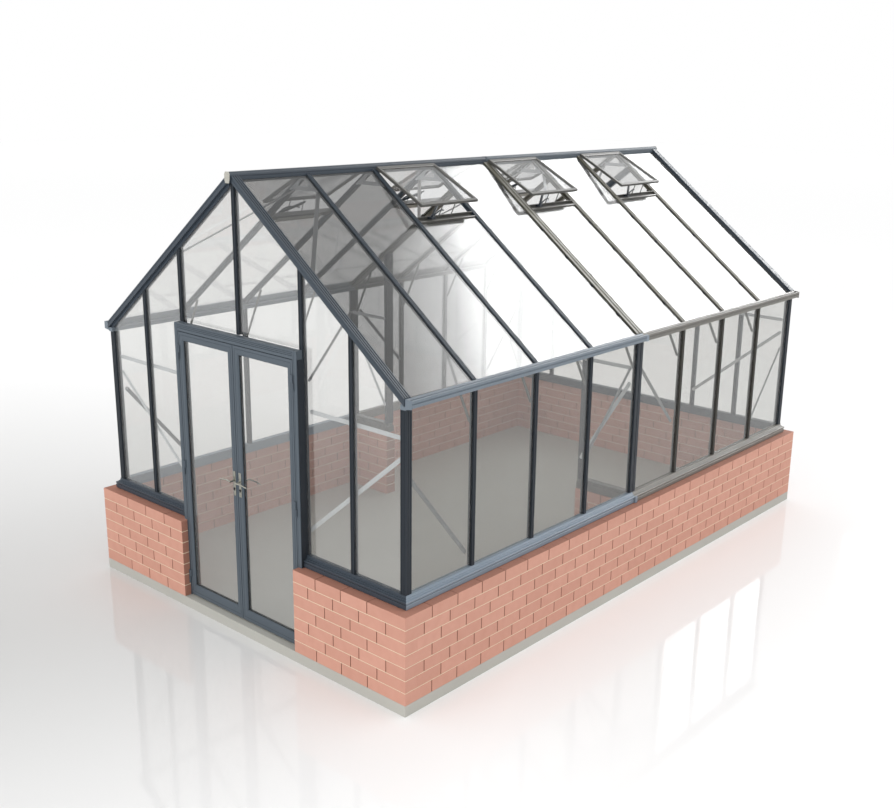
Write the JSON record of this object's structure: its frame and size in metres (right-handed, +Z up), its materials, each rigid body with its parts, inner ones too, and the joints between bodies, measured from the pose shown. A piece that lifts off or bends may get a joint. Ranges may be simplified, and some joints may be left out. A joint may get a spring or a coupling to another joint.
{
  "type": "glasshouse",
  "caption": "Aluminium-framed glasshouse on a brick dwarf wall with double hinged doors, lever handles, pitched glass roof and open roof vents.",
  "frame": {"origin": "centre of the slab's underside, on the ground", "axes": "+Z up, +Y along the ridge away from the doors, +X to the right when facing the doors"},
  "size_m": [3.244, 5.162, 3.16],
  "materials": {
    "concrete": "smooth pale concrete",
    "brick": "salmon facing brick with cream joints",
    "frame": "dark grey powder coat, satin",
    "door_frame": "slate grey powder coat, satin",
    "gutter": "slate grey powder coat, satin",
    "brace": "mill finish",
    "end_cap": "pale moulded cap",
    "glass": "clear",
    "handle_metal": "satin nickel"
  },
  "bodies": {
    "glasshouse": {"floor_slab": "concrete", "brick_front_left": "brick", "brick_front_right": "brick", "brick_side_left": "brick", "brick_side_right": "brick", "brick_rear": "brick", "sill_front": "frame", "sill_rear": "frame", "sill_left": "frame", "sill_right": "frame", "corner_posts": "frame", "side_bars_left": "frame", "side_bars_right": "frame", "gable_bars_front": "frame", "gable_bars_rear": "frame", "gutter_left": "gutter", "gutter_right": "gutter", "ridge": "frame", "ridge_end_caps": "end_cap", "verge_bars_front": "frame", "verge_bars_rear": "frame", "roof_bars_left": "frame", "roof_bars_right": "frame", "glass_side_left": "glass", "glass_side_right": "glass", "glass_front": "glass", "glass_rear": "glass", "glass_roof_left": "glass", "glass_roof_right": "glass", "vent_frames": "frame", "vent_glass": "glass", "vent_rails": "frame", "vent_stays": "brace", "knee_braces": "brace", "ridge_gussets": "brace", "wall_braces": "brace", "door_frame": "door_frame", "roof_braces": "brace", "mid_walls": "brick", "mid_sills": "frame", "mid_posts": "frame"},
    "door_left": {"door_leaf_left": "door_frame", "door_glass_left": "glass", "handle_plates_left": "handle_metal"},
    "door_right": {"door_leaf_right": "door_frame", "door_glass_right": "glass", "handle_plates_right": "handle_metal"},
    "handle_left": {"lever_left": "handle_metal"},
    "handle_right": {"lever_right": "handle_metal"}
  },
  "joints": [
    {"name": "door_left_hinge", "type": "hinge", "parent": "glasshouse", "child": "door_left", "pos_m": [-0.5895, -2.536, 1.06], "axis": [0, 0, -1], "range_deg": [0, 90]},
    {"name": "door_right_hinge", "type": "hinge", "parent": "glasshouse", "child": "door_right", "pos_m": [0.5895, -2.536, 1.06], "axis": [0, 0, 1], "range_deg": [0, 90]},
    {"name": "handle_left_turn", "type": "hinge", "parent": "door_left", "child": "handle_left", "pos_m": [-0.03, -2.51, 1.105], "axis": [0, -1, 0], "range_deg": [0, 40], "stiffness_Nm_per_rad": 0.5, "springref_deg": -45.84},
    {"name": "handle_right_turn", "type": "hinge", "parent": "door_right", "child": "handle_right", "pos_m": [0.03, -2.51, 1.105], "axis": [0, 1, 0], "range_deg": [0, 40], "stiffness_Nm_per_rad": 0.5, "springref_deg": -45.84}
  ]
}
